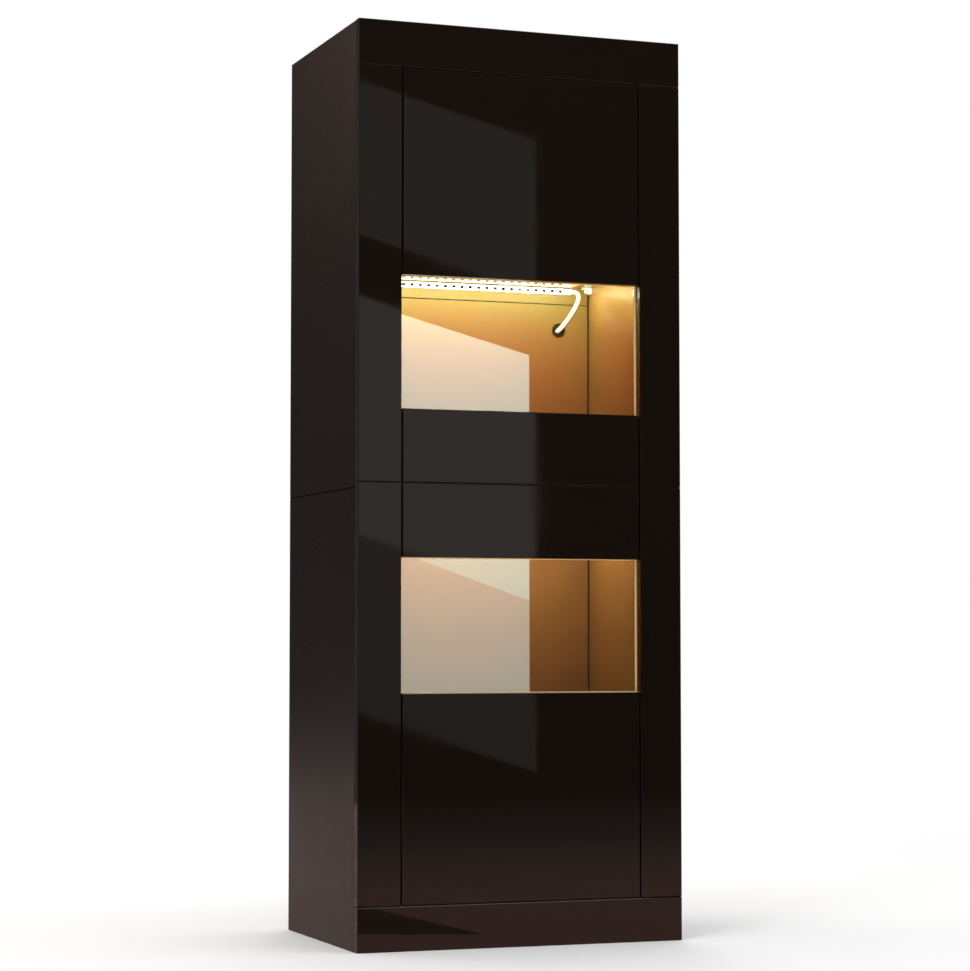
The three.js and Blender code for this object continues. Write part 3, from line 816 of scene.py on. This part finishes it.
def backdrop():
    look = Look("backdrop")
    look.output(look.add("Emission", {"Color": rgba(1, 1, 1), "Strength": 1.0}).outputs[0])
    look.material.cycles.emission_sampling = "NONE"
    for name, sign in (("front", -1), ("rear", 1)):
        mesh = bmesh.new()
        bmesh.ops.create_icosphere(mesh, subdivisions=4, radius=38.0)
        whole = [*mesh.verts, *mesh.edges, *mesh.faces]
        bmesh.ops.bisect_plane(
            mesh, geom=whole, plane_co=(0, -SHOWN_FROM, 0), plane_no=(0, -sign, 0), clear_outer=True)
        data = bpy.data.meshes.new(f"{name}_backdrop")
        mesh.to_mesh(data)
        mesh.free()
        made = bpy.data.objects.new(f"{name}_backdrop", data)
        bpy.context.scene.collection.objects.link(made)
        data.materials.append(look.material)
        for ray in ("diffuse", "glossy", "volume_scatter", "shadow"):
            setattr(made, f"visible_{ray}", False)
        made.visible_transmission = name == "rear"


def lamp(name, place, target, size, watts, colour=(1, 1, 1), mirrored=True, spread=180):
    data = bpy.data.lights.new(name, "AREA")
    data.spread = math.radians(spread)
    data.shape = "RECTANGLE"
    data.size, data.size_y = size
    data.energy = watts
    data.color = colour
    made = bpy.data.objects.new(name, data)
    bpy.context.scene.collection.objects.link(made)
    made.location = place
    made.rotation_mode = "QUATERNION"
    made.rotation_quaternion = (Vector(target) - Vector(place)).to_track_quat("-Z", "Y")
    made.visible_camera = False
    made.visible_transmission = False
    made.visible_glossy = mirrored


def studio():
    world = bpy.data.worlds.new("world")
    world.use_nodes = True
    background = world.node_tree.nodes["Background"]
    background.inputs["Color"].default_value = rgba(1.0, 0.97, 0.94)
    background.inputs["Strength"].default_value = 0.03
    world.cycles_visibility.transmission = False
    bpy.context.scene.world = world
    lamp("overhead", (0.0, -0.3, 5.2), (0, 0, 0), (5.0, 5.0), 340)
    lamp("left_front", (-3.4, -3.0, 3.4), (0, 0, 0.8), (1.6, 2.2), 50)
    lamp("left_rear", (-3.0, 3.2, 2.9), (0, 0, 1.2), (1.4, 1.6), 18, (1.0, 0.64, 0.48))
    lamp("rear", (1.2, 4.2, 2.4), (0, 0, 0.8), (2.6, 2.2), 90, mirrored=False)


# Watts and colour of the lamps that stand for each strip's light: first fitted to the tones in the
# photograph, then changed
STRIP_LIGHT = {
    "upper": {"front": (2.3, (1.0, 0.38, 0.21)), "bounce": (3.5, (1.0, 0.47, 0.38)),
              "end": (0.45, (0.55, 1.0, 0.5)), "wash": (1.75, (0.42, 1.0, 0.64))},
    "lower": {"front": (3.2, (1.0, 0.83, 0.51)), "bounce": (2.7, (1.0, 0.77, 0.67)),
              "end": (0.1, (0.8, 1.0, 0.3)), "wash": (0.3, (0.75, 1.0, 0.3))},
}


def strip_lamps():
    """Per strip: a lamp to the front, one that washes the wall below it, one by the right side, and a
    soft one for the light thrown back by the door."""
    for level in LEVELS:
        low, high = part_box(f"{level}_light_strip")
        x, z, width = (low.x + high.x) / 2, (low.z + high.z) / 2, high.x - low.x
        under = high.z - 0.004
        end_y = low.y - 0.17
        places = {
            "front": ((x, low.y - 0.004, z), (x, -1.0, z - 0.2), (width, 0.008), 180),
            "wash": ((x, low.y - 0.055, under), (x, WALL, z - 0.06), (width, 0.02), 180),
            "end": ((high.x - 0.01, end_y, under - 0.004), (INSIDE_X, end_y, z - 0.035), (0.26, 0.012), 180),
            "bounce": ((x, -0.11, under - 0.002), (x, WALL, z - 0.12), (0.5, 0.06), 120),
        }
        for name, (place, target, size, spread) in places.items():
            watts, colour = STRIP_LIGHT[level][name]
            lamp(f"{level}_{name}_lamp", place, target, size, watts, colour, False, spread)


# Lines on the front plane, in mm: (x, z) and (x, z). The gloss mirrors a bright window as panes
# that end along them, and the glass, which stands further back, along its own. They were measured
# in the photograph, turned into millimetres on the front plane and rounded.
LINE_A = ((-302, 1491), (27, 1408))
LINE_B = ((-304, 1226), (-98, 1166))
LINE_C = ((-304, 1120), (-223, 1098))
LINE_D = ((-303, 709), (-222, 685))
LINE_F = ((-302, 405), (26, 300))
GLASS_C = ((-215, 1087), (19, 1025))
GLASS_D = ((-178, 663), (19, 595))
PANE_LEFT, PANE_RIGHT, GLASS_RIGHT = -460, 25, 12.2


def on_line(line, x):
    (x0, z0), (x1, z1) = line
    return z0 + (z1 - z0) * (x - x0) / (x1 - x0)


def behind_mirror(x, z, away, depth):
    """Where a card's corner stands, away mm in front of the front plane, to be mirrored at (x, z) on it.
    The mirror is depth mm behind the front plane."""
    eye = EYE / MM
    gap = FRONT / MM - eye.y
    reach = (gap + 2 * depth + away) / (gap + depth)
    at_mirror = (gap + depth) / gap
    px, pz = eye.x + (x - eye.x) * at_mirror, eye.z + (z - eye.z) * at_mirror
    card_x, card_z = eye.x + (px - eye.x) * reach, eye.z + (pz - eye.z) * reach
    return Vector((card_x, FRONT / MM - away, card_z)) * MM


def mirror_only(made, look, receivers):
    look.material.cycles.emission_sampling = "NONE"
    for ray in ("camera", "diffuse", "transmission", "volume_scatter", "shadow"):
        setattr(made, f"visible_{ray}", False)
    made.light_linking.receiver_collection = receivers


def receivers_of(name, slot):
    group = bpy.data.collections.new(name)
    for node, its_slot in SLOT_OF.items():
        if its_slot == slot:
            group.objects.link(NODES[node])
    return group


def half_plane(look, start, end, soft):
    """1 on the left of the line from start to end, points (along X, along the second axis)."""
    (x0, y0), (x1, y1) = start, end
    length = math.hypot(x1 - x0, y1 - y0)
    left = look.across((y0 - y1) / length, (x1 - x0) / length)
    reach = look.add("VectorMath", {0: look.rest, 1: left}, operation="DOT_PRODUCT").outputs["Value"]
    return look.beyond(reach, (x0 * (y0 - y1) + y0 * (x1 - x0)) / length, soft)


PANE_EDGE = 0.001  # how soft the panes' edges are
HIGH = 1600.0  # the upright edges run from the floor to this height, in mm


def window_card(name, away, panes, right, depth, slot):
    """One bright window, mirrored as panes: each has a top and a bottom line, a strength and a colour."""
    look = Look(name)
    look.upright = True

    def place(x, z):
        at = behind_mirror(x, z, away, depth)
        return at.x, at.z

    def below(line, x0, x1):
        return half_plane(look, place(x1, on_line(line, x1)), place(x0, on_line(line, x0)), PANE_EDGE)

    low, high = 0.0, HIGH
    strength, tint = 0.0, rgba(*panes[0][3])
    for top, bottom, value, colour in panes:
        above_bottom = look.maths("SUBTRACT", 1.0, below(bottom, PANE_LEFT, right))
        pane = look.maths("MULTIPLY", below(top, PANE_LEFT, right), above_bottom)
        strength = look.maths("ADD", strength, look.maths("MULTIPLY", pane, value))
        tint = look.mix(pane, tint, rgba(*colour))
    from_left = half_plane(look, place(PANE_LEFT, high), place(PANE_LEFT, low), PANE_EDGE)
    from_right = half_plane(look, place(right, low), place(right, high), PANE_EDGE)
    strength = look.maths("MULTIPLY", strength, look.maths("MULTIPLY", from_left, from_right))
    y = FRONT - away * MM
    mirrored(look, [(-12, y, -8), (12, y, -8), (0, y, 16)], tint, strength, slot)


def mirrored(look, corners, colour, strength, slot):
    """A glowing card that only the nodes of this slot mirror."""
    glow = look.add("Emission", {"Color": colour, "Strength": strength})
    clear = look.add("BsdfTransparent")
    look.output(look.add("AddShader", {0: glow.outputs[0], 1: clear.outputs[0]}).outputs[0])
    name = look.material.name
    card = stage_mesh(name, corners, look.material)
    mirror_only(card, look, receivers_of(f"{name}_mirrors", slot))


GLASS_DEPTH = 18.3  # the panes' front face behind the front plane, in mm


def window_cards():
    """The window twice, for the gloss and for the glass, which mirrors it brighter."""
    grey = (1.0, 0.97, 0.96)
    panes = [(LINE_A, LINE_B, 0.28, grey), (LINE_C, LINE_D, 0.54, grey), (LINE_D, LINE_F, 0.235, grey)]
    window_card("gloss_window", 2600, panes, PANE_RIGHT, 0, "gloss_front")
    warm, pale = (0.86, 1.0, 0.90), (0.66, 1.0, 0.92)
    panes = [(LINE_A, LINE_B, 2.0, warm), (GLASS_C, GLASS_D, 3.7, pale), (GLASS_D, LINE_F, 2.4, warm)]
    window_card("glass_window", 2650, panes, GLASS_RIGHT, GLASS_DEPTH, "window_glass")


# The rug's near end, far left corner and far right one on the floor, in metres, also from the photograph
RUG = ((-0.04, -1.02), (-0.21, -0.49), (0.005, -0.41))


def front_shading(look):
    """Brown by the cabinet, greyer and fading further away, with a darker rug."""
    away = look.maths("SUBTRACT", FRONT, look.axis("Y"))
    colour = look.mix(look.spread(away, 0.9, 2.4), rgba(0.56, 0.30, 0.26), rgba(0.15, 0.14, 0.13))
    fade = look.spread(away, 2.2, 4.4, 1.0, 0.0)
    near, left, right = RUG
    rug = look.maths("MULTIPLY", half_plane(look, near, right, 0.006), half_plane(look, right, left, 0.006))
    return look.maths("MULTIPLY", fade, look.spread(rug, 0.0, 1.0, 1.0, 0.2)), colour


def side_shading(look):
    away = look.axis("Y")
    colour = look.mix(look.spread(away, 0.0, 4.0), rgba(0.28, 0.20, 0.18), rgba(0.33, 0.25, 0.23))
    return look.spread(away, 5.5, 6.0, 1.0, 0.0), colour


def plain_shading(look):
    return 1.0, rgba(0.055, 0.065, 0.06)


def room_cards():
    """The floor in front and on the left, and a wall on the left that the boards' edges mirror."""
    z = 0.0005
    front = [(-9, -6, z), (9, -6, z), (0, 6, z)]
    side = [(-14, -0.3, z), (-0.302, -0.3, z), (-0.302, 15, z)]
    wall = [(-9, 6, -1), (-0.6, 6, -1), (-0.6, 6, 12)]
    for name, corners, shading, slot in (
            ("front_floor", front, front_shading, "gloss_front"),
            ("side_floor", side, side_shading, "case_board"),
            ("left_wall", wall, plain_shading, "gloss_front")):
        look = Look(name)
        strength, colour = shading(look)
        mirrored(look, corners, colour, strength, slot)


# ---- The scene ----
SMALL_METAL = [f"{level}_hinge_{part}_{end}" for level in LEVELS for part in ("cup", "link", "housing")
               for end in ("top", "bottom")]
SMALL_PLASTIC = [f"{level}_{part}" for level in LEVELS
                 for part in ("latch_body", "latch_plunger", "shelf_support_left", "shelf_support_right")]

make_camera()
dress_nodes()
for small in SMALL_METAL:
    refined(small, 0.00025)
for small in SMALL_PLASTIC:
    refined(small, 0.0003)
for level in LEVELS:
    light_strip(level)
    lead(level)
lead_clips()
controller_details()
hinge_screws()
retainer_screws()
back_nails()
hole_grommets()
dust_strips()
joint_shade_strips()
glass_edges()
floor()
backdrop()
studio()
strip_lamps()
window_cards()
room_cards()
bpy.context.scene.view_settings.view_transform = "Standard"
